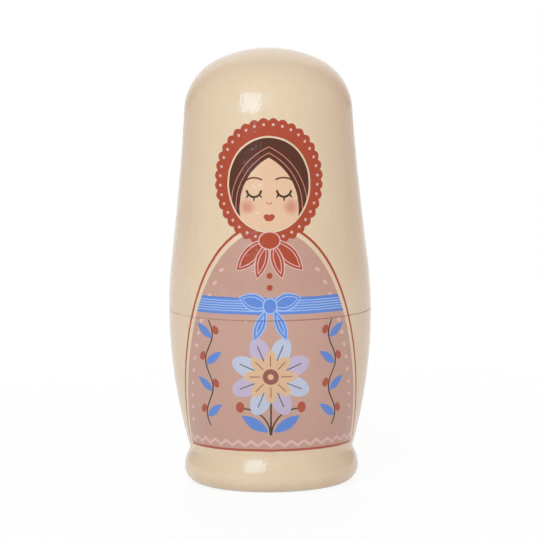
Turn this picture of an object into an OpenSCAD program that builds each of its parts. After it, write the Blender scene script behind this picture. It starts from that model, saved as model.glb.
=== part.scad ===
// Turned wooden nesting doll: four hollow dolls and a solid one, each standing inside the next.
// Every hollow doll parts at its widest ring, where a spigot on the lower half fills a socket in the upper.

/* [Outer doll] */
// Height from the foot to the crown
doll_h = 150; // [130:1:175]
// Radius of the bead round the base
base_r = 30; // [25:0.1:34]
// Height of the widest ring of the bead
base_z = 5.5; // [3:0.1:8]
// Rounding from the flat foot up to the bead
foot_round = 5.5; // [4:0.1:9]
// Curve of the bead from its widest ring into the neck groove
base_round = 11.5; // [8:0.1:20]
// How far the neck groove lies inside the bead
neck_d = 2.05; // [1:0.05:3]
// Height of the neck groove
neck_z = 11.85; // [10:0.05:15]
// Hollow rounding at the bottom of the neck groove
neck_round = 2.8; // [1:0.1:5]
// Radius of the belly at the seam
belly_r = 34.8; // [30:0.1:40]
// Height of the seam, which is the widest ring of the doll
seam_z = 60.2; // [52:0.1:70]
// Curve of the lower half from the neck groove to the seam
lower_round = 174; // [120:1:300]
// Curve of the upper half over the seam
upper_round = 152; // [120:1:200]
// Height where the upper curve turns into the hollow taper
taper_z = 78; // [72:0.5:90]
// Hollow curve of the taper up to the head
taper_round = 1200; // [600:50:3000]
// Height of the rounded head, from the end of the taper to the crown
head_h = 20.5; // [17:0.1:26]
// Rounding from the side of the head into the crown
head_round = 20; // [12:0.5:21]

/* [Nest] */
// Size of each doll as a share of the doll around it
nest_ratio = 0.8; // [0.74:0.01:0.82]
// Clear space between a doll and the hollow that it stands in
nest_gap = 1.4; // [0.8:0.1:2]
// Wood under the hollow
floor_t = 12; // [9:0.5:16]
// Rounding in the corner between the floor and the side of the hollow
well_round = 2.5; // [1:0.1:4]

/* [Seam joint] */
// Height of the spigot above the seam
spigot_h = 10; // [6:0.5:14]
// Wall of the spigot
spigot_t = 2.6; // [2:0.1:3.2]
// Play between the spigot and its socket, on the radius
fit_gap = 0.08; // [0.05:0.01:0.2]
// Room left over the spigot so that the shoulders close first
end_gap = 0.5; // [0.3:0.1:1]
// Chamfer on the outer rims, which shows as the fine groove of the seam
seam_edge = 0.2; // [0.1:0.05:0.4]
// Chamfer that leads the spigot into the socket
lead_edge = 0.6; // [0.3:0.1:1]

/* [Hidden] */
$fn = 180;
arc_steps = 12;
over = 1;

// Points along an arc after its first one, from one bearing to another
function arc(c, r, from, to) =
    [for (i = [1:arc_steps]) let (a = from + (to - from) * i / arc_steps) c + r * [cos(a), sin(a)]];

// Bearing of one point seen from another
function bearing(p, from) = atan2(p[1] - from[1], p[0] - from[0]);

// Centre of the circle that swells outwards between a point and one above it
function swell(p, q, r) =
    let (d = q - p) (p + q) / 2 + sqrt(r * r - d * d / 4) * [-d[1], d[0]] / norm(d);

// Crossing of two circles that lies to the right on the way from the first centre to the second
function crossing(a, ra, b, rb) =
    let (d = b - a, along = (ra * ra - rb * rb + d * d) / (2 * norm(d)))
        a + (along * d + sqrt(ra * ra - along * along) * [d[1], -d[0]]) / norm(d);

// Foot, bead, neck groove and belly
bead_p = [base_r, base_z];
neck_p = [base_r - neck_d, neck_z];
seam_p = [belly_r, seam_z];
foot_c = [base_r - foot_round, min(base_z, foot_round)];
foot_lean = asin(foot_c[1] / foot_round);
foot_r = foot_c[0] + foot_round * cos(foot_lean);
base_c = swell(bead_p, neck_p, base_round);
lower_c = swell(neck_p, seam_p, lower_round);
neck_c = crossing(base_c, base_round + neck_round, lower_c, lower_round + neck_round);
base_lean = bearing(neck_c, base_c);
lower_lean = bearing(neck_c, lower_c);

// Upper half: the curve over the seam, the hollow taper, the side of the head and the crown
upper_c = seam_p - [upper_round, 0];
taper_lean = asin((taper_z - seam_z) / upper_round);
taper_c = upper_c + (upper_round + taper_round) * [cos(taper_lean), sin(taper_lean)];
head_z = doll_h - head_h;
head_lean = asin((taper_c[1] - head_z) / taper_round);
head_turn = min(head_round, 0.98 * head_h);
head_c = taper_c - (taper_round + head_turn) * [cos(head_lean), sin(head_lean)];
rise = doll_h - head_c[1];
crown_round = (pow(head_c[0], 2) + pow(rise, 2) - pow(head_turn, 2)) / (2 * (rise - head_turn));
crown_c = [0, doll_h - crown_round];
crown_lean = bearing(head_c, crown_c);

// Skin over the neck groove up to the seam, and from there to the crown, both grown outwards by a distance
function lower_skin(g) = arc(lower_c, lower_round + g, lower_lean, bearing(seam_p, lower_c));
function upper_skin(g) = concat(
    arc(upper_c, upper_round + g, 0, taper_lean),
    arc(taper_c, taper_round - g, 180 + taper_lean, 180 + head_lean),
    arc(head_c, head_turn + g, head_lean, crown_lean),
    arc(crown_c, crown_round + g, crown_lean, 90)
);
doll_skin = concat(
    [[0, 0], [foot_r, 0]],
    arc(foot_c, foot_round, -foot_lean, 0),
    arc(base_c, base_round, bearing(bead_p, base_c), base_lean),
    arc(neck_c, neck_round, 180 + base_lean, 180 + lower_lean),
    lower_skin(0),
    upper_skin(0)
);
widest = max([for (p = doll_skin) p[0]]);

// Hollow for the next doll, drawn in that doll's own frame and nowhere narrower than its bead
grow = nest_gap / nest_ratio;
well_r = base_r + grow;
well_edge = well_round / nest_ratio;
well_skin = concat(
    [[0, 0], [well_r - well_edge, 0]],
    arc([well_r - well_edge, well_edge], well_edge, -90, 0),
    [for (p = lower_skin(grow)) [max(p[0], well_r), p[1]]]
);

// Moves points of the next doll's frame to its place in this one
function placed(points) = [for (p = points) [0, floor_t] + nest_ratio * p];

// Spigot, socket and the chamfers at their mouths
bore_r = nest_ratio * widest + nest_gap;
spigot_r = bore_r + spigot_t;
socket_r = spigot_r + fit_gap;
spigot_z = seam_z + spigot_h;
socket_z = spigot_z + end_gap;
rim_t = belly_r - socket_r;
rim_cut = min(seam_edge, rim_t / 3);
lead_cut = min(lead_edge, rim_t / 3);

// Foot height of a doll that stands inside the given number of others
function nest_z(depth) = depth == 0 ? 0 : nest_z(depth - 1) + floor_t * pow(nest_ratio, depth - 1);

// Sets a doll of the given depth in its place in the nest
module nested(depth) {
    translate([0, 0, nest_z(depth)])
        scale(pow(nest_ratio, depth))
            children();
}

// Foot, bead and belly up to the seam, with the spigot over it and the well inside
module lower_half() {
    rotate_extrude()
        difference() {
            union() {
                intersection() {
                    polygon(doll_skin);
                    square([2 * widest, seam_z]);
                }
                polygon([
                    [0, seam_z - over], [spigot_r, seam_z - over], [spigot_r, spigot_z - lead_cut],
                    [spigot_r - lead_cut, spigot_z], [0, spigot_z]
                ]);
            }
            polygon(concat(placed(well_skin), [[bore_r, spigot_z + over], [0, spigot_z + over]]));
            polygon([
                [belly_r + over, seam_z - rim_cut - over], [belly_r - rim_cut, seam_z],
                [belly_r + over, seam_z]
            ]);
        }
}

// Belly above the seam, taper and head, with the socket and the hollow inside
module upper_half() {
    rotate_extrude()
        difference() {
            polygon(doll_skin);
            square([2 * widest, seam_z]);
            polygon(placed(concat(well_skin, upper_skin(grow))));
            polygon([
                [0, seam_z - over], [socket_r + lead_cut + over, seam_z - over],
                [socket_r, seam_z + lead_cut], [socket_r, socket_z], [0, socket_z]
            ]);
            polygon([
                [belly_r + over, seam_z - over], [belly_r - rim_cut - over, seam_z - over],
                [belly_r - rim_cut, seam_z], [belly_r + over, seam_z + rim_cut + over]
            ]);
        }
}

module outer_lower() {
    color("#e2cdaf")
        nested(0)
            lower_half();
}

module outer_upper() {
    color("#e2cdaf")
        nested(0)
            upper_half();
}

module second_lower() {
    color("#b0503a")
        nested(1)
            lower_half();
}

module second_upper() {
    color("#b0503a")
        nested(1)
            upper_half();
}

module third_lower() {
    color("#668cd6")
        nested(2)
            lower_half();
}

module third_upper() {
    color("#668cd6")
        nested(2)
            upper_half();
}

module fourth_lower() {
    color("#c4a094")
        nested(3)
            lower_half();
}

module fourth_upper() {
    color("#c4a094")
        nested(3)
            upper_half();
}

module smallest_doll() {
    color("#bcaec8")
        nested(4)
            rotate_extrude()
                polygon(doll_skin);
}

outer_lower();
outer_upper();
second_lower();
second_upper();
third_lower();
third_upper();
fourth_lower();
fourth_upper();
smallest_doll();
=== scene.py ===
import math
from collections import namedtuple

import bpy
import numpy as np
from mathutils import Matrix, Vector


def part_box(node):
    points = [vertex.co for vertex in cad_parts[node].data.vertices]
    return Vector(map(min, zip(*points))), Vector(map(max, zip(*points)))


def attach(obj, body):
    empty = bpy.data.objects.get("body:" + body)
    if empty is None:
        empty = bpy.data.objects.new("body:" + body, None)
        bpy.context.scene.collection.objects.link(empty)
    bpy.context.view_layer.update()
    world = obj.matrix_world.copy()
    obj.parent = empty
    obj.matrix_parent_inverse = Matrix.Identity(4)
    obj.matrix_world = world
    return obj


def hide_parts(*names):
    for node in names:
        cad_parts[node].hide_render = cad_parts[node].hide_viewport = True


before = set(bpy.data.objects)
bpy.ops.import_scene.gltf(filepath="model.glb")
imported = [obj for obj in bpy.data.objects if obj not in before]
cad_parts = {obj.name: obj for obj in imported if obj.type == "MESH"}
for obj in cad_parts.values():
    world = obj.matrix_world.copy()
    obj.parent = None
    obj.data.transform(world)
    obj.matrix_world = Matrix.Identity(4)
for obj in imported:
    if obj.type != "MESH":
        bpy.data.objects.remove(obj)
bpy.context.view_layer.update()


# Lower half of the outer doll: foot, bead, neck groove and belly up to the seam, turned in one piece from
# lime wood. A bare spigot stands over the seam, and the well inside holds the next doll. The skin is painted
# as one picture with the upper half, then lacquered. All sizes are in millimetres.
doll_h = 150.0
base_r, base_z, foot_round, base_round = 30.0, 5.5, 5.5, 11.5
neck_d, neck_z, neck_round = 2.05, 11.85, 2.8
belly_r, seam_z, lower_round = 34.8, 60.2, 174.0
nest_ratio, nest_gap, floor_t, well_round = 0.8, 1.4, 12.0, 2.5
spigot_h, spigot_t, seam_edge, lead_edge = 10.0, 2.6, 0.2, 0.6


def arc(centre, radius, start, stop, steps):
    """Points of a circle, evenly spaced from one bearing to the other in degrees, both ends included."""
    a = np.radians(np.linspace(start, stop, steps + 1))
    return np.column_stack((centre[0] + radius * np.cos(a), centre[1] + radius * np.sin(a)))


def bearing(p, seen_from):
    """Angle in degrees of the line from one point to another, counted up from the outward direction."""
    return math.degrees(math.atan2(p[1] - seen_from[1], p[0] - seen_from[0]))


def heading(degrees):
    """Step of length 1 along a bearing."""
    return np.array((math.cos(math.radians(degrees)), math.sin(math.radians(degrees))))


def swell(p, q, radius):
    """Centre of the circle through two points: from their middle towards the axis, square to their chord."""
    chord = q - p
    reach = math.sqrt(radius ** 2 - chord @ chord / 4)
    return (p + q) / 2 + reach * np.array((-chord[1], chord[0])) / math.hypot(*chord)


bead_p = np.array((base_r, base_z))
neck_p = np.array((base_r - neck_d, neck_z))
seam_p = np.array((belly_r, seam_z))
foot_c = np.array((base_r - foot_round, base_z))
foot_lean = math.degrees(math.asin(base_z / foot_round))
foot_r = foot_c[0] + foot_round * heading(foot_lean)[0]
base_c = swell(bead_p, neck_p, base_round)
lower_c = swell(neck_p, seam_p, lower_round)

# The hollow rounding in the groove touches the bead's circle and the belly's circle from outside.
between = base_c - lower_c
gap = math.hypot(*between)
to_base, to_lower = base_round + neck_round, lower_round + neck_round
along = (to_lower ** 2 - to_base ** 2 + gap ** 2) / (2 * gap)
aside = math.sqrt(to_lower ** 2 - along ** 2)
neck_c = lower_c + (along * between + aside * np.array((-between[1], between[0]))) / gap
base_lean, lower_lean = bearing(neck_c, base_c), bearing(neck_c, lower_c)


def lower_skin(grow):
    """Belly curve from the neck groove up to the seam, moved outwards by a distance."""
    return arc(lower_c, lower_round + grow, lower_lean, bearing(seam_p, lower_c), steps=32)


disc_rings = 8
foot_disc = np.column_stack((np.arange(disc_rings) * foot_r / disc_rings, np.zeros(disc_rings)))
base_skin = np.concatenate((
    arc(foot_c, foot_round, -foot_lean, 0, steps=16),
    arc(base_c, base_round, bearing(bead_p, base_c), base_lean, steps=16)[1:],
    arc(neck_c, neck_round, 180 + base_lean, 180 + lower_lean, steps=12)[1:],
    lower_skin(0)[1:],
))

# The well is the next doll's own skin moved out by the gap, and nowhere narrower than its bead.
grow = nest_gap / nest_ratio
well_r, well_edge = base_r + grow, well_round / nest_ratio
well_side = lower_skin(grow)
well_side[:, 0] = np.maximum(well_side[:, 0], well_r)
well = np.concatenate((
    np.column_stack((np.arange(disc_rings) * (well_r - well_edge) / disc_rings, np.zeros(disc_rings))),
    arc((well_r - well_edge, well_edge), well_edge, -90, 0, steps=8),
    well_side,
)) * nest_ratio + (0, floor_t)
bore_r = nest_ratio * belly_r + nest_gap
spigot_r, spigot_z = bore_r + spigot_t, seam_z + spigot_h
rim_r = belly_r - seam_edge
lower_outline = (
    (foot_disc, "wood"),
    (np.array([*base_skin[base_skin[:, 1] < seam_z - seam_edge], (belly_r, seam_z - seam_edge)]), "paint"),
    (np.array(((rim_r, seam_z), (spigot_r, seam_z), (spigot_r, spigot_z - lead_edge),
               (spigot_r - lead_edge, spigot_z), (bore_r, spigot_z))), "wood"),
    (well[::-1], "wood"),
)


def turned(name, outline, doll, columns=192, sharp_from=28):
    """A turned piece: its outline, from the axis round to the axis again, swept once about the upright axis.

    Row i, column j stands at radius r(i), height z(i) and turn 2 pi j / columns. The first and the last row
    close to one point each on the axis, and a strip takes the finish of the outline point that it starts from.
    An edge stays sharp where its faces meet at more than the given angle in degrees.
    """
    points = np.concatenate([part for part, finish in outline])
    bare = np.concatenate([np.full(len(part), finish == "wood") for part, finish in outline])
    r, z = points[1:-1, 0] * doll.size / 1000, points[:, 1] * doll.size / 1000 + doll.foot
    turn = 2 * np.pi * np.arange(columns) / columns
    rows = len(r)
    ring = np.stack((np.outer(r, np.cos(turn)), np.outer(r, np.sin(turn)),
                     np.repeat(z[1:-1, None], columns, 1)), axis=2)
    verts = np.concatenate((ring.reshape(-1, 3), [(0, 0, z[0])], [(0, 0, z[-1])]))
    index = np.arange(rows * columns).reshape(rows, columns)
    right = np.roll(index, -1, axis=1)
    quads = np.stack((index[:-1], right[:-1], right[1:], index[1:]), axis=2).reshape(-1, 4)
    first = np.stack((np.full(columns, rows * columns), right[0], index[0]), axis=1)
    last = np.stack((index[-1], right[-1], np.full(columns, rows * columns + 1)), axis=1)
    mesh = bpy.data.meshes.new(name)
    mesh.from_pydata(verts.tolist(), [], quads.tolist() + first.tolist() + last.tolist())
    mesh.materials.append(doll.paint)
    mesh.materials.append(doll.wood)
    strips = np.concatenate((np.repeat(bare[1:-2], columns), np.repeat(bare[[0, -2]], columns)))
    mesh.polygons.foreach_set("material_index", strips.astype(np.int32))
    mesh.shade_smooth()
    mesh.set_sharp_from_angle(angle=math.radians(sharp_from))
    piece = bpy.data.objects.new(name, mesh)
    bpy.context.scene.collection.objects.link(piece)
    return piece


class Field:
    """A value that changes over a surface. Each sum, difference, product or quotient adds one Math node."""

    def __init__(self, socket):
        self.socket = socket

    def __add__(self, other):
        return reckon("ADD", self, other)

    def __sub__(self, other):
        return reckon("SUBTRACT", self, other)

    def __rsub__(self, other):
        return reckon("SUBTRACT", other, self)

    def __mul__(self, other):
        return reckon("MULTIPLY", self, other)

    def __truediv__(self, other):
        return reckon("DIVIDE", self, other)

    def __abs__(self):
        return reckon("ABSOLUTE", self)

    __radd__ = __add__


def reckon(operation, *terms, clamp=False):
    """One Math node on the given terms, which are fields or plain numbers."""
    tree = next(term.socket.id_data for term in terms if isinstance(term, Field))
    node = tree.nodes.new("ShaderNodeMath")
    node.operation = operation
    node.use_clamp = clamp
    for place, term in zip(node.inputs, terms):
        if isinstance(term, Field):
            tree.links.new(term.socket, place)
        else:
            place.default_value = term
    return Field(node.outputs[0])


def length(a, b):
    """Distance from the origin to the point with these two coordinates."""
    return reckon("SQRT", a * a + b * b)


def apart(place):
    """The three coordinates of a place, each as a field."""
    node = place.id_data.nodes.new("ShaderNodeSeparateXYZ")
    place.id_data.links.new(place, node.inputs[0])
    return [Field(socket) for socket in node.outputs]


def speckle(place, scale, detail=2.0, roughness=0.5, stretch=(1, 1, 1)):
    """Soft noise from 0 to 1 over a place in millimetres, with this many waves to the millimetre."""
    tree = place.id_data
    mapping = tree.nodes.new("ShaderNodeMapping")
    mapping.inputs["Scale"].default_value = stretch
    tree.links.new(place, mapping.inputs["Vector"])
    noise = tree.nodes.new("ShaderNodeTexNoise")
    noise.inputs["Scale"].default_value = scale
    noise.inputs["Detail"].default_value = detail
    noise.inputs["Roughness"].default_value = roughness
    tree.links.new(mapping.outputs["Vector"], noise.inputs["Vector"])
    return Field(noise.outputs[0])


def shade(code):
    """A colour written as six hexadecimal digits, turned into the linear values that a shader takes."""
    parts = np.array([int(code[i:i + 2], 16) for i in (0, 2, 4)]) / 255
    linear = np.where(parts <= 0.04045, parts / 12.92, ((parts + 0.055) / 1.055) ** 2.4)
    return (*linear.tolist(), 1.0)


def coat(below, mask, colour):
    """One coat of colour, a socket or a linear colour, over what lies below, where the mask is 1."""
    tree = mask.socket.id_data
    node = tree.nodes.new("ShaderNodeMix")
    node.data_type = "RGBA"
    tree.links.new(mask.socket, node.inputs[0])
    for place, value in ((node.inputs[6], below), (node.inputs[7], colour)):
        if isinstance(value, tuple):
            place.default_value = value
        else:
            tree.links.new(value, place)
    return node.outputs[2]


def new_group(name, inputs, outputs):
    """An empty node group with these sockets, its input node's sockets and a way to set its outputs."""
    group = bpy.data.node_groups.new(name, "ShaderNodeTree")
    for side, sockets in (("INPUT", inputs), ("OUTPUT", outputs)):
        for label, kind in sockets.items():
            group.interface.new_socket(name=label, in_out=side, socket_type="NodeSocket" + kind)
    return group, group.nodes.new("NodeGroupInput").outputs, group.nodes.new("NodeGroupOutput").inputs


# Bare lime wood, on the spigots, the rims, in the hollows and under the feet: pale, straight-grained, cut
# end on at the floors, with the fine rings that the turning tool leaves and no lacquer on it.
wood_pale, wood_dark, wood_pith = shade("e0c69c"), shade("c9a873"), shade("b08a58")
pith_x, pith_y, ring_wave, ring_drift, ring_depth = 46.0, -21.0, 2.1, 9.0, 0.45
tool_wave, tool_drift, blotch_depth, pore_from, pore_depth = 9.0, 5.0, 0.25, 0.66, 0.3
wood_rough, fibre_rough, tool_height, fibre_height = 0.5, 0.2, 6.0, 12.0
turned_wood, given, result = new_group(
    "turned_lime_wood", {"Place": "Vector"}, {"Colour": "Color", "Roughness": "Float", "Height": "Float"})
px, py, pz = apart(given["Place"])
drift = speckle(given["Place"], scale=0.05, stretch=(1, 1, 0.25))
year_ring = reckon("SINE", length(px - pith_x, py - pith_y) * ring_wave + drift * ring_drift) * 0.5 + 0.5
fibre = speckle(given["Place"], scale=1.6, detail=4.0, roughness=0.6, stretch=(1, 1, 0.05))
blotch = speckle(given["Place"], scale=0.03)
tool_ring = reckon("SINE", (pz + length(px, py)) * tool_wave + drift * tool_drift)
colour = coat(wood_pale, year_ring * ring_depth * fibre + blotch * blotch_depth, wood_dark)
colour = coat(colour, reckon("GREATER_THAN", fibre, pore_from) * pore_depth, wood_pith)
turned_wood.links.new(colour, result["Colour"])
turned_wood.links.new((wood_rough + fibre * fibre_rough).socket, result["Roughness"])
turned_wood.links.new((tool_ring * tool_height + fibre * fibre_height).socket, result["Height"])


def inside(distance, soft=0.14):
    """1 where a distance in millimetres is above zero and 0 where it is below, with a narrow soft edge."""
    return reckon("MULTIPLY_ADD", distance, 1 / soft, 0.5, clamp=True)


def line(distance, half):
    """A brush line along the places where a distance is zero, with half its width given."""
    return inside(half - abs(distance))


def oval(x, z, cx, cz, rx, rz):
    """Distance inwards from the edge of an upright ellipse: its level over the slope of that level."""
    a, b = (x - cx) / rx, (z - cz) / rz
    level = length(a, b)
    return (1 - level) * level / length(a / rx, b / rz)


def leaf(x, z, cx, cz, turn, half, width):
    """Distance inwards from a leaf: its width falls off with the square of the way along it from the middle."""
    c, s = heading(turn)
    dx, dz = x - cx, z - cz
    way = (dx * c + dz * s) / half
    return (1 - way * way) * width - abs(dz * c - dx * s)


def round_angle(x, z, rx, rz):
    """Turn from the top round an ellipse in steps of nearly even length: the mean of its two usual angles."""
    return (reckon("ARCTAN2", x, z) + reckon("ARCTAN2", x / rx, z / rz)) * 0.5


def scallop(way, count):
    """Row of half-round bumps from 0 to 1, this many to a full turn."""
    return abs(reckon("SINE", way * (count / 2)))


def beads(way, pitch, off, radius):
    """Distance inwards from a row of dots with the given pitch along a way and the given offset across it."""
    step = (reckon("FRACT", way / pitch) - 0.5) * pitch
    return radius - length(step, off)


def both(*masks):
    """Where all the masks are 1."""
    whole = masks[0]
    for mask in masks[1:]:
        whole = whole * mask
    return whole


class Picture:
    """Coats of paint laid one over another on the ground, each where all its masks are 1."""

    def __init__(self, pots):
        self.pots = pots
        self.colour = pots["Ground"]

    def lay(self, paint, *masks):
        """A coat of a pot's colour, given by name, or of another colour."""
        colour = self.pots[paint] if isinstance(paint, str) else paint
        self.colour = coat(self.colour, both(*masks), colour)


# Painted figure on the front: flat acrylic colours over a plain ground, from the dress up to the face, by a hand
# that wavers. In millimetres, x runs across the front, z runs up from the foot, and m is the distance from the
# middle line, for what is the same on both sides.
pots = ("Ground", "Dress", "Trim", "Lace", "Ribbon", "Stripe", "Petal", "Next_Petal", "Inner_Petal", "Heart",
        "Skin", "Blush", "Hair", "Line")
figure, given, result = new_group(
    "painted_figure", {"Place": "Vector", "Petals": "Float", **{pot: "Color" for pot in pots}},
    {"Colour": "Color", "Relief": "Float"})
picture = Picture(given)
px, py, pz = apart(given["Place"])
waver_across, waver_up = 0.35, -0.3
waver = speckle(given["Place"], scale=0.22) - 0.5
x = reckon("ARCTAN2", px, py * -1.0) * length(px, py) + waver * waver_across
z = pz + waver * waver_up
m = abs(x)

# Dress: a tall arch down to the neck groove, with piping outside it, a row of dots and a zigzag braid inside.
dress_z, dress_w, dress_h, hem_z, hem_in = 16.0, 35.0, 75.0, 14.6, 0.5
piping_out, dots_in, dots_low, dots_top = 1.9, 2.9, 21.0, 79.5
braid_z, braid_pitch, braid_slope = 16.6, 4.6, 0.75
dress_in = oval(x, z, 0, dress_z, dress_w, dress_h)
over_hem = inside(z - hem_z)
dress = both(inside(dress_in), over_hem)
picture.lay("Trim", line(dress_in + piping_out, half=0.42), over_hem)
picture.lay("Dress", dress)
dots = beads(z, pitch=4.4, off=dress_in - dots_in, radius=0.75)
picture.lay("Lace", inside(dots), inside(z - dots_low), inside(dots_top - z))
braid = z - braid_z - reckon("PINGPONG", x, braid_pitch / 2) * braid_slope
picture.lay("Lace", line(braid, half=0.55), dress)
picture.lay("Trim", line(z - hem_z - hem_in, half=0.4), dress)

# Vines up the sides of the dress, with a leaf on one side and a bud on the other at every step.
vine_x, vine_sway, vine_pitch, vine_low, vine_top = 22.4, 1.5, 9.2, 23.0, 59.8
vine = both(inside(z - vine_low), inside(vine_top - z))
step = (z - vine_low) / vine_pitch
stem = m - vine_x - reckon("SINE", step * math.pi) * vine_sway
turn_over = 1 - reckon("FLOORED_MODULO", reckon("FLOOR", step), 2.0) * 2
lx, lz = stem * turn_over, (reckon("FRACT", step) - 0.5) * vine_pitch
picture.lay("Line", line(stem, half=0.28), vine)
picture.lay("Ribbon", inside(leaf(lx, lz, cx=-3.1, cz=0.9, turn=140, half=3.6, width=1.5)), vine)
picture.lay("Trim", inside(oval(lx, lz, cx=1.5, cz=1.4, rx=1.2, rz=1.55)), vine)

# Double flower in the middle of the skirt: two rings of petals round a heart, on a stem with leaves and buds.
flower_z, heart_r, heart_dot_r, stem_low, stem_top = 41.0, 2.7, 1.0, 20.4, 34.0
bud_x, bud_stem_z, bud_stem_r = 9.4, 20.6, 9.2
reach = length(x, z - flower_z)
petals = Field(given["Petals"])
share = reckon("ARCTAN2", x, z - flower_z) * petals / (2 * math.pi)


def petal(shift, centre, half, width):
    """A ring of egg-shaped petals: the turn is folded into one petal's wedge, its number kept for the colours."""
    number = reckon("FLOOR", share + shift)
    fold = (share + (shift - 0.5) - number) * (2 * math.pi) / petals
    a, b = reach * reckon("COSINE", fold), reach * reckon("SINE", fold)
    vein = both(line(b, half=0.16), inside(half * 0.5 - abs(a - centre)))
    return inside(oval(a, b, centre, 0, half, width)), vein, reckon("FLOORED_MODULO", number, 2.0)


picture.lay("Line", line(x, half=0.3), inside(stem_top - z), inside(z - stem_low))
picture.lay("Line", line(length(m - bud_x, z - bud_stem_z) - bud_stem_r, half=0.26),
            inside(z - bud_stem_z), inside(bud_x - m))
picture.lay("Ribbon", inside(leaf(m, z, cx=5.4, cz=24.4, turn=32, half=5.4, width=1.9)))
picture.lay("Trim", inside(oval(m, z, cx=10.6, cz=30.2, rx=1.5, rz=1.9)))
back, vein, odd = petal(shift=0.0, centre=8.7, half=5.6, width=3.35)
picture.lay(coat(given["Petal"], odd, given["Next_Petal"]), back)
picture.lay("Line", vein)
front, vein, _ = petal(shift=0.5, centre=5.4, half=3.7, width=2.1)
picture.lay("Inner_Petal", front)
picture.lay("Heart", vein)
picture.lay("Heart", inside(heart_r - reach))
picture.lay("Inner_Petal", inside(heart_dot_r - reach))

# Ribbon round the waist, woven with fine stripes and tied in a bow, and the buttons over it.
belt_z, belt_half, bow_edge, bow_stitch = 65.2, 2.9, 0.45, 0.85
belt = both(inside(belt_half - abs(z - belt_z)), dress)
picture.lay("Ribbon", belt)
for stripe in (0.0, 0.85, 1.7):
    picture.lay("Stripe", line(abs(z - belt_z) - stripe, half=0.17), belt)
tail_end = leaf(m, z, cx=3.5, cz=58.6, turn=-68, half=5.2, width=1.5)
bow_loop = leaf(m, z, cx=5.4, cz=66.5, turn=17, half=5.1, width=2.6)
for part in (tail_end, bow_loop):
    picture.lay("Stripe", inside(part + bow_edge))
    picture.lay("Ribbon", inside(part))
    picture.lay("Stripe", line(part - bow_stitch, half=0.18))
bow_knot = oval(x, z, cx=0, cz=belt_z, rx=2.1, rz=2.4)
picture.lay("Stripe", inside(bow_knot + bow_edge))
picture.lay("Ribbon", inside(bow_knot))
for button_z in (71.4, 75.4):
    picture.lay("Trim", inside(oval(x, z, cx=0, cz=button_z, rx=1.0, rz=1.0)))

# Headscarf: a broad band with a scalloped rim and a row of dots, round parted hair.
scarf_z, scarf_w, scarf_h, scallops = 107.0, 18.6, 20.4, 36
face_z, face_w, face_h = 106.0, 13.9, 15.6
parting_x, parting_z, parting_r = 9.6, 97.8, 19.7
scallop_out, dot_round, dot_in, rim_out = 0.9, 19.0, 1.3, 0.6
scarf_in = oval(x, z, 0, scarf_z, scarf_w, scarf_h)
scarf_way = round_angle(x, z - scarf_z, scarf_w, scarf_h)
face_in = oval(x, z, 0, face_z, face_w, face_h)
face = inside(face_in)
parting = length(m + parting_x, z - parting_z)
picture.lay("Trim", inside(scarf_in + scallop(scarf_way, scallops) * scallop_out))
dot_pitch = dot_round * 2 * math.pi / scallops
picture.lay("Lace", inside(beads(scarf_way * dot_round, dot_pitch, off=scarf_in - dot_in, radius=0.5)))
picture.lay("Ground", inside(face_in + rim_out))
picture.lay("Hair", face)
picture.lay("Skin", inside(parting_r - parting), face)
for strand in (1.4, 3.2):
    picture.lay("Blush", line(parting - parting_r - strand, half=0.14), face)

# Face: round cheeks, closed eyes with three lashes each, brows, a small nose and mouth.
cheek_x, cheek_z, cheek_r, cheek_depth = 7.4, 98.4, 3.3, 1.1
eye_x, eye_z, eye_r, lid_z = 5.1, 104.2, 2.4, 104.0
brow_x, brow_z, brow_r, brow_low, brow_mid, brow_half = 4.9, 102.8, 5.4, 106.8, 5.2, 2.9
nose_z, nose_r, nose_top = 100.4, 0.95, 100.2
lip_red = shade("b0503a")
cheek = reckon("SMOOTH_MIN", 1 - length(m - cheek_x, z - cheek_z) / cheek_r, 0.75, 0.2)
picture.lay("Blush", reckon("MULTIPLY", cheek, cheek_depth, clamp=True), face)
picture.lay("Line", line(length(m - eye_x, z - eye_z) - eye_r, half=0.36), inside(lid_z - z))
picture.lay("Hair", line(length(m - brow_x, z - brow_z) - brow_r, half=0.26),
            inside(z - brow_low), inside(brow_half - abs(m - brow_mid)))
picture.lay("Blush", line(length(x, z - nose_z) - nose_r, half=0.24), inside(nose_top - z))
for cx, cz, turn in ((2.9, 102.1, -128), (5.1, 101.1, -90), (7.3, 102.1, -52)):
    picture.lay("Line", inside(leaf(m, z, cx, cz, turn, half=0.9, width=0.3)))
lips = reckon("MAXIMUM", oval(m, z, cx=0.85, cz=95.2, rx=1.05, rz=0.85), oval(x, z, cx=0, cz=94.5, rx=1.5, rz=0.9))
picture.lay(lip_red, inside(lips))

# Ends of the scarf, tied under the chin: two pairs of tails and a knot.
tail_edge, tail_stitch = 0.4, 0.85
long_tail = leaf(m, z, cx=6.2, cz=82.4, turn=-46, half=7.2, width=2.7)
short_tail = leaf(m, z, cx=2.6, cz=80.4, turn=-74, half=6.0, width=1.9)
for tail in (long_tail, short_tail):
    picture.lay("Lace", inside(tail + tail_edge))
    picture.lay("Trim", inside(tail))
    picture.lay("Lace", line(tail - tail_stitch, half=0.16))
chin_knot = oval(x, z, cx=0, cz=87.2, rx=3.4, rz=2.7)
picture.lay("Lace", inside(chin_knot + tail_edge))
picture.lay("Trim", inside(chin_knot))

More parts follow.
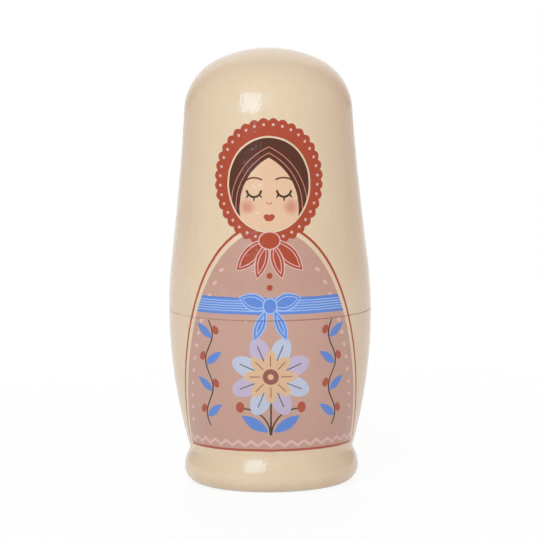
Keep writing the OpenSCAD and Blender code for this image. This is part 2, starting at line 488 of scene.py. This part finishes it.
# Rubbed seam: a hairline where the rims meet, darkened by dirt from handling and by painted shade in the gap,
# with the paint chipped off here and there. The rims close tight on the left and stand a hair open from the
# middle to the right, where the painted shade in the gap is darker.
shut_x, open_x, seam_soft, hairline_half, hairline_vary = -22.0, -3.0, 0.1, 0.16, 0.12
chip_from, chip_reach, patch_from, patch_reach = 0.58, 2.2, 0.47, 1.2
chip_bare, dirt_and_shade_least, dirt_and_shade_more = 0.85, 0.13, 0.44
off_seam = abs(pz - seam_z)
seam_dirt_and_shade = shade("6a4234")
chip = speckle(given["Place"], scale=0.8, detail=3.0, roughness=0.6)
patchy = speckle(given["Place"], scale=0.1)
ajar = reckon("DIVIDE", px - shut_x, open_x - shut_x, clamp=True)
worn = inside((chip - chip_from) * chip_reach + (patchy - patch_from) * patch_reach - off_seam, seam_soft)
hairline = inside(hairline_half + (chip - 0.5) * hairline_vary - off_seam, seam_soft)
picture.lay(wood_pale, worn * chip_bare)
# Painted shade in the gap between the rims, together with dirt from handling: darker where the rims stand open.
picture.lay(seam_dirt_and_shade, hairline * (dirt_and_shade_least + patchy * dirt_and_shade_more) * ajar)

# Uneven paint: clouds of a little more or less pigment, and the streaks of a broad brush.
streak_share, uneven_depth, uneven_from = 0.4, 0.1, 0.055
cloud = speckle(given["Place"], scale=0.06, detail=3.0)
streak = speckle(given["Place"], scale=0.55, detail=3.0, roughness=0.6, stretch=(1, 1, 0.12))
uneven = reckon("MULTIPLY_ADD", cloud + streak * streak_share, uneven_depth, -uneven_from, clamp=True)
picture.lay("Line", uneven)
figure.links.new(picture.colour, result["Colour"])

# Relief, in coats of paint: thin ones on the petals, the belt and the face, and chips that go down to the wood.
petal_coat, belt_coat, face_coat, chip_depth = 0.7, 0.8, 0.8, 3.0
relief = dress + back * petal_coat + belt * belt_coat + face * face_coat - worn * chip_depth
figure.links.new(relief.socket, result["Relief"])

# Clear gloss lacquer over the paint: brushed on in two coats, level but for a faint peel and the brush's marks
# along the doll, and duller in places where hands take hold of it. Heights are in microns.
peel_height, brush_height, wave_height, paint_height = 70.0, 60.0, 45.0, 8.0
lacquer_rough, smear_rough, lacquer_ior = 0.07, 0.09, 1.52
lacquer_film, given, result = new_group(
    "clear_lacquer", {"Place": "Vector"}, {"Roughness": "Float", "Height": "Float"})
peel = speckle(given["Place"], scale=0.7, detail=2.0, roughness=0.6, stretch=(1, 1, 0.6))
brushed = speckle(given["Place"], scale=1.0, detail=0.0, stretch=(1, 1, 0.45))
wave = speckle(given["Place"], scale=0.12, detail=1.0)
smear = speckle(given["Place"], scale=0.05, detail=4.0, roughness=0.6)
lacquer_film.links.new((lacquer_rough + smear * smear_rough).socket, result["Roughness"])
lacquer_film.links.new((peel * peel_height + brushed * brush_height + wave * wave_height).socket, result["Height"])


def finish_material(name):
    """A new material, its node tree and its shader."""
    material = bpy.data.materials.new(name)
    material.use_nodes = True
    return material, material.node_tree, material.node_tree.nodes["Principled BSDF"]


def placed_group(tree, group, foot, size):
    """A node group fed with the doll's own millimetres: its foot at zero, scaled up to the outer doll."""
    place = tree.nodes.new("ShaderNodeTexCoord")
    mapping = tree.nodes.new("ShaderNodeMapping")
    mapping.inputs["Scale"].default_value = (1000 / size,) * 3
    mapping.inputs["Location"].default_value = (0, 0, -foot * 1000 / size)
    node = tree.nodes.new("ShaderNodeGroup")
    node.node_tree = group
    tree.links.new(place.outputs["Object"], mapping.inputs["Vector"])
    tree.links.new(mapping.outputs["Vector"], node.inputs["Place"])
    return node


def bump(tree, height, shader, micron=1e-6):
    """Relief on a shader's normal, from heights in thousandths of a millimetre."""
    node = tree.nodes.new("ShaderNodeBump")
    node.inputs["Strength"].default_value = 1.0
    node.inputs["Distance"].default_value = micron
    tree.links.new(height, node.inputs["Height"])
    tree.links.new(node.outputs["Normal"], shader.inputs["Normal"])


def bare_wood(name, foot, size):
    """Unfinished lime wood with the grain in the doll's own place."""
    material, tree, shader = finish_material(name)
    wood = placed_group(tree, turned_wood, foot, size)
    tree.links.new(wood.outputs["Colour"], shader.inputs["Base Color"])
    tree.links.new(wood.outputs["Roughness"], shader.inputs["Roughness"])
    bump(tree, wood.outputs["Height"], shader)
    return material


def lacquered(name, foot, size, petal_count, paints):
    """The figure in one doll's colours under the lacquer."""
    material, tree, shader = finish_material(name)
    paint = placed_group(tree, figure, foot, size)
    paint.inputs["Petals"].default_value = petal_count
    for pot, code in paints.items():
        paint.inputs[pot].default_value = shade(code)
    film = placed_group(tree, lacquer_film, foot, size)
    tree.links.new(paint.outputs["Colour"], shader.inputs["Base Color"])
    tree.links.new(film.outputs["Roughness"], shader.inputs["Roughness"])
    height = Field(film.outputs["Height"]) + Field(paint.outputs["Relief"]) * paint_height
    bump(tree, height.socket, shader)
    shader.inputs["IOR"].default_value = lacquer_ior
    return material


Doll = namedtuple("Doll", "name foot size paint wood")


def new_doll(name, lowest, topmost, petal_count, **paints):
    """Place, size and finishes of a doll that stands from the bottom of one node to the top of another."""
    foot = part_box(lowest)[0].z
    size = (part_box(topmost)[1].z - foot) * 1000 / doll_h
    return Doll(name, foot, size, lacquered(name + "_lacquer", foot, size, petal_count, paints),
                bare_wood(name + "_bare_wood", foot, size))


def set_in(node, outline, doll):
    """One turned piece of a doll, in the place of its node and riding on that node's body."""
    piece = turned(node + "_turned", outline, doll)
    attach(piece, node)
    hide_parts(node)


cream, milk, rose, pink, salmon, skin, blush = "e4cdb0", "ead8bd", "c39a8b", "dcb4ae", "d99a84", "e6bf9f", "cf8474"
terracotta, maroon, chestnut, brown, ink = "ae4a32", "925048", "8a5a38", "562f22", "3a2a12"
cornflower, sky, mist, lavender, peach = "5c84d0", "9db8ec", "bac0d4", "bcaec8", "d8b08c"
outer = new_doll(
    "outer", "outer_lower", "outer_upper", 8, Ground=cream, Dress=rose, Trim=terracotta, Lace=pink,
    Ribbon=cornflower, Stripe=sky, Petal=mist, Next_Petal=lavender, Inner_Petal=peach, Heart=maroon,
    Skin=skin, Blush=blush, Hair=brown, Line=ink)
set_in("outer_lower", lower_outline, outer)


# Upper half of the outer doll: belly above the seam, taper and domed head, turned from lime wood. A socket
# inside its rim closes over the lower half's spigot, and the hollow above it holds the next doll's head.
# It carries the rest of the same picture.
upper_round, taper_z, taper_round, head_h, head_round = 152.0, 78.0, 1200.0, 20.5, 20.0
fit_gap, end_gap = 0.08, 0.5
upper_c = seam_p - (upper_round, 0)
taper_lean = math.degrees(math.asin((taper_z - seam_z) / upper_round))
taper_c = upper_c + (upper_round + taper_round) * heading(taper_lean)
head_lean = math.degrees(math.asin((taper_c[1] - doll_h + head_h) / taper_round))
head_c = taper_c - (taper_round + head_round) * heading(head_lean)
rise = doll_h - head_c[1]
crown_round = (head_c[0] ** 2 + rise ** 2 - head_round ** 2) / (2 * (rise - head_round))
crown_c = (0.0, doll_h - crown_round)
crown_lean = bearing(head_c, crown_c)


def upper_skin(grow):
    """Curve over the seam, hollow taper, side of the head and crown, moved outwards by a distance."""
    return np.concatenate((
        arc(upper_c, upper_round + grow, 0, taper_lean, steps=14),
        arc(taper_c, taper_round - grow, 180 + taper_lean, 180 + head_lean, steps=24)[1:],
        arc(head_c, head_round + grow, head_lean, crown_lean, steps=28)[1:],
        arc(crown_c, crown_round + grow, crown_lean, 90, steps=24)[1:],
    ))


hollow = upper_skin(grow) * nest_ratio + (0, floor_t)
socket_r, socket_z = spigot_r + fit_gap, spigot_z + end_gap
socket_roof = (np.interp(socket_z, hollow[:, 1], hollow[:, 0]), socket_z)
head_skin = upper_skin(0)
upper_outline = (
    (hollow[hollow[:, 1] > socket_z][::-1], "wood"),
    (np.array((socket_roof, (socket_r, socket_z), (socket_r, seam_z + lead_edge),
               (socket_r + lead_edge, seam_z))), "wood"),
    (np.array(((rim_r, seam_z), (belly_r, seam_z + seam_edge),
               *head_skin[head_skin[:, 1] > seam_z + seam_edge])), "paint"),
)
set_in("outer_upper", upper_outline, outer)


# Second doll: the same two turned halves at four fifths of the size, standing in the well of the outer doll.
# Terracotta ground, cream dress, brown scarf with rose dots.
second = new_doll(
    "second", "second_lower", "second_upper", 6, Ground=terracotta, Dress=cream, Trim=brown, Lace=rose,
    Ribbon=cornflower, Stripe=sky, Petal=rose, Next_Petal=peach, Inner_Petal=terracotta, Heart=brown,
    Skin=skin, Blush=blush, Hair=brown, Line=ink)
set_in("second_lower", lower_outline, second)
set_in("second_upper", upper_outline, second)


# Third doll: again two turned halves at four fifths of the size, standing in the well of the second.
# Cornflower ground, lavender dress, maroon scarf with cream dots.
third = new_doll(
    "third", "third_lower", "third_upper", 8, Ground=cornflower, Dress=lavender, Trim=maroon, Lace=cream,
    Ribbon=terracotta, Stripe=salmon, Petal=cream, Next_Petal=peach, Inner_Petal=pink, Heart=maroon,
    Skin=skin, Blush=blush, Hair=chestnut, Line=ink)
set_in("third_lower", lower_outline, third)
set_in("third_upper", upper_outline, third)


# Fourth doll: the smallest that opens, two turned halves standing in the well of the third.
# Dusty rose ground, pale blue dress, maroon scarf with milky dots.
fourth = new_doll(
    "fourth", "fourth_lower", "fourth_upper", 6, Ground=rose, Dress=mist, Trim=maroon, Lace=milk,
    Ribbon=cornflower, Stripe=sky, Petal=terracotta, Next_Petal=peach, Inner_Petal=milk, Heart=maroon,
    Skin=skin, Blush=blush, Hair=brown, Line=ink)
set_in("fourth_lower", lower_outline, fourth)
set_in("fourth_upper", upper_outline, fourth)


# Smallest doll: one solid turned piece that doesn't open, standing in the well of the fourth.
# Lavender ground, peach dress, terracotta scarf with milky dots.
whole_outline = ((foot_disc, "wood"), (base_skin, "paint"), (head_skin[1:], "paint"))
smallest = new_doll(
    "smallest", "smallest_doll", "smallest_doll", 6, Ground=lavender, Dress=peach, Trim=terracotta, Lace=milk,
    Ribbon=cornflower, Stripe=sky, Petal=cream, Next_Petal=pink, Inner_Petal=terracotta, Heart=brown,
    Skin=skin, Blush=blush, Hair=brown, Line=ink)
set_in("smallest_doll", whole_outline, smallest)


# Floor: a plain pale sheet of paper under the doll, near white to the camera, a little greyer in the gloss.
# It keeps a faint contact shadow, which fades out with the distance. It is a stage for the doll and no part of it.
floor_half, floor_drop, floor_white = 6.0, 0.0002, 0.97
shadow_left, shadow_fade, floor_gloss = 0.9, 0.3, 0.65
floor_mesh = bpy.data.meshes.new("floor")
corners = np.array(((-1, -1, 0), (1, -1, 0), (1, 1, 0), (-1, 1, 0))) * floor_half
floor_mesh.from_pydata(corners.tolist(), [], [(0, 1, 2, 3)])
floor = bpy.data.objects.new("floor", floor_mesh)
floor.location.z = -floor_drop
bpy.context.scene.collection.objects.link(floor)
floor_paper = bpy.data.materials.new("floor_paper")
floor_paper.use_nodes = True
paper = floor_paper.node_tree
paper.nodes.remove(paper.nodes["Principled BSDF"])
matt = paper.nodes.new("ShaderNodeBsdfDiffuse")
matt.inputs["Color"].default_value = (floor_white, floor_white, floor_white, 1)
white = paper.nodes.new("ShaderNodeEmission")
seen = paper.nodes.new("ShaderNodeLightPath")
to_eye = reckon("MAXIMUM", Field(seen.outputs["Is Camera Ray"]), Field(seen.outputs["Is Transmission Ray"]))
to_eye = reckon("MAXIMUM", to_eye, Field(seen.outputs["Is Glossy Ray"]) * floor_gloss)
mixed = paper.nodes.new("ShaderNodeMixShader")
spot = paper.nodes.new("ShaderNodeTexCoord")
spread = paper.nodes.new("ShaderNodeVectorMath")
spread.operation = "LENGTH"
paper.links.new(spot.outputs["Object"], spread.inputs[0])
fade = reckon("MULTIPLY_ADD", Field(spread.outputs["Value"]), shadow_fade, shadow_left, clamp=True)
paper.links.new((to_eye * fade).socket, mixed.inputs[0])
paper.links.new(matt.outputs[0], mixed.inputs[1])
paper.links.new(white.outputs[0], mixed.inputs[2])
paper.links.new(mixed.outputs[0], paper.nodes["Material Output"].inputs["Surface"])
floor_mesh.materials.append(floor_paper)


# Light: an even warm room with a white backdrop behind the doll, a large soft screen in front, one behind and a
# dim ceiling. A window of two panes, in front to the left, shows only as the highlight in the lacquer.
room_level, room_tint, plain_white = 0.44, (1.0, 0.77, 0.74, 1.0), (1.0, 1.0, 1.0, 1.0)
backdrop_lift, backdrop_edge, backdrop_fade = 20.0, 0.77, 0.15
room = bpy.data.worlds.new("pale_room")
bpy.context.scene.world = room
room.use_nodes = True
sky_light = room.node_tree.nodes["Background"]
ray = room.node_tree.nodes.new("ShaderNodeLightPath")
direction = room.node_tree.nodes.new("ShaderNodeTexCoord")
_, north, up = apart(direction.outputs["Generated"])
level, rising = heading(backdrop_lift)
backdrop = reckon("DIVIDE", north * level + up * rising - backdrop_edge, backdrop_fade, clamp=True)
shown = reckon("MAXIMUM", Field(ray.outputs["Is Camera Ray"]), Field(ray.outputs["Is Transmission Ray"]))
shown = reckon("MAXIMUM", shown, Field(ray.outputs["Is Glossy Ray"]) * backdrop)
room.node_tree.links.new(coat(room_tint, shown, plain_white), sky_light.inputs["Color"])
room.node_tree.links.new((room_level + shown * (1 - room_level)).socket, sky_light.inputs["Strength"])


def area_lamp(name, azimuth, elevation, away, width, height, radiance, tint, aside=0.0, mirrored=True, lights=True):
    """A rectangular lamp facing the middle of the doll; its power is pi times its area times its radiance.

    It stands at an azimuth from the front and an elevation, both in degrees, moved aside in its own plane. It shows
    in the gloss where it is mirrored, and lights the paint where it lights.
    """
    a, e = math.radians(azimuth), math.radians(elevation)
    lamp = bpy.data.lights.new(name, "AREA")
    lamp.shape = "RECTANGLE"
    lamp.size, lamp.size_y = width, height
    lamp.energy = math.pi * width * height * radiance
    lamp.color = tint
    stand = bpy.data.objects.new(name, lamp)
    stand.rotation_euler = (math.pi / 2 - e, 0, a)
    stand.location = (away * math.sin(a) * math.cos(e) + aside * math.cos(a),
                      -away * math.cos(a) * math.cos(e) + aside * math.sin(a),
                      doll_h / 2000 + away * math.sin(e))
    stand.visible_camera = False
    stand.visible_glossy = mirrored
    stand.visible_diffuse = lights
    bpy.context.scene.collection.objects.link(stand)


daylight, gleam, plain_tint = (0.8, 0.98, 1.0), (0.45, 0.8, 1.0), (1.0, 1.0, 1.0)
area_lamp("key_screen", azimuth=-9.5, elevation=33, away=1.5, width=0.9, height=1.05, radiance=4.75,
          tint=daylight, mirrored=False)
for side, elevation, aside in (("left", 27.9, -0.164), ("right", 27.1, 0.164)):
    area_lamp("window_" + side + "_pane", azimuth=-25, elevation=elevation, away=1.4, width=0.31, height=0.92,
              radiance=5.3, tint=gleam, aside=aside, lights=False)
area_lamp("ceiling", azimuth=0, elevation=88, away=1.5, width=1.8, height=1.8, radiance=0.23, tint=plain_tint)
area_lamp("back_screen", azimuth=180, elevation=24, away=1.7, width=0.9, height=1.2, radiance=4.6,
          tint=daylight, mirrored=False)


# Camera: a long lens a little above the doll, tipped down to it and turned by half a degree.
camera_x, camera_back, camera_z, target_z = 0.0001, 1.350, 0.2368, 0.0733
camera_lens, camera_lean = 262.9, -0.009
camera = bpy.data.objects.new("camera", bpy.data.cameras.new("camera"))
camera.data.sensor_width = 36.0
camera.data.lens = camera_lens
camera.data.clip_end = 50
camera_tip = math.atan2(camera_z - target_z, camera_back)
camera.rotation_mode = "ZYX"
camera.location = (camera_x, -camera_back, camera_z)
camera.rotation_euler = (math.pi / 2 - camera_tip, 0, camera_lean)
bpy.context.scene.collection.objects.link(camera)
bpy.context.scene.camera = camera
bpy.context.scene.view_settings.view_transform = "Standard"

bpy.context.view_layer.update()
